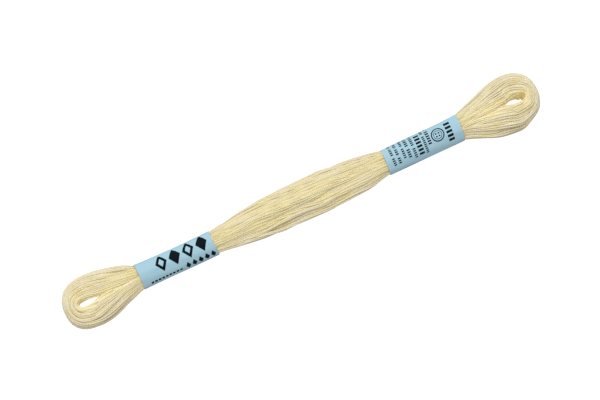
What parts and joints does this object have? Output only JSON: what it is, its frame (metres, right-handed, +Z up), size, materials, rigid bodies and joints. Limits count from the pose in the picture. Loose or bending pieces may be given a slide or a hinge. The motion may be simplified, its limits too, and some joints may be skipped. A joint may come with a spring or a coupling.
{
  "type": "embroidery floss hank",
  "caption": "Flat hank of cream cotton embroidery floss with an eye at each end, held by blue paper bands on either side of its belly.",
  "frame": {"origin": "middle of the hank's length and width, on the surface it lies on", "axes": "+X along the hank from the left eye to the right eye, +Y across it, +Z up from the surface it lies on"},
  "size_m": [0.16, 0.0177, 0.0076],
  "materials": {
    "floss": "mercerised cotton, soft sheen",
    "band_paper": "smooth light blue paper"
  },
  "bodies": {
    "root": {"floss_hank": "floss", "left_band": "band_paper", "right_band": "band_paper"}
  },
  "joints": []
}
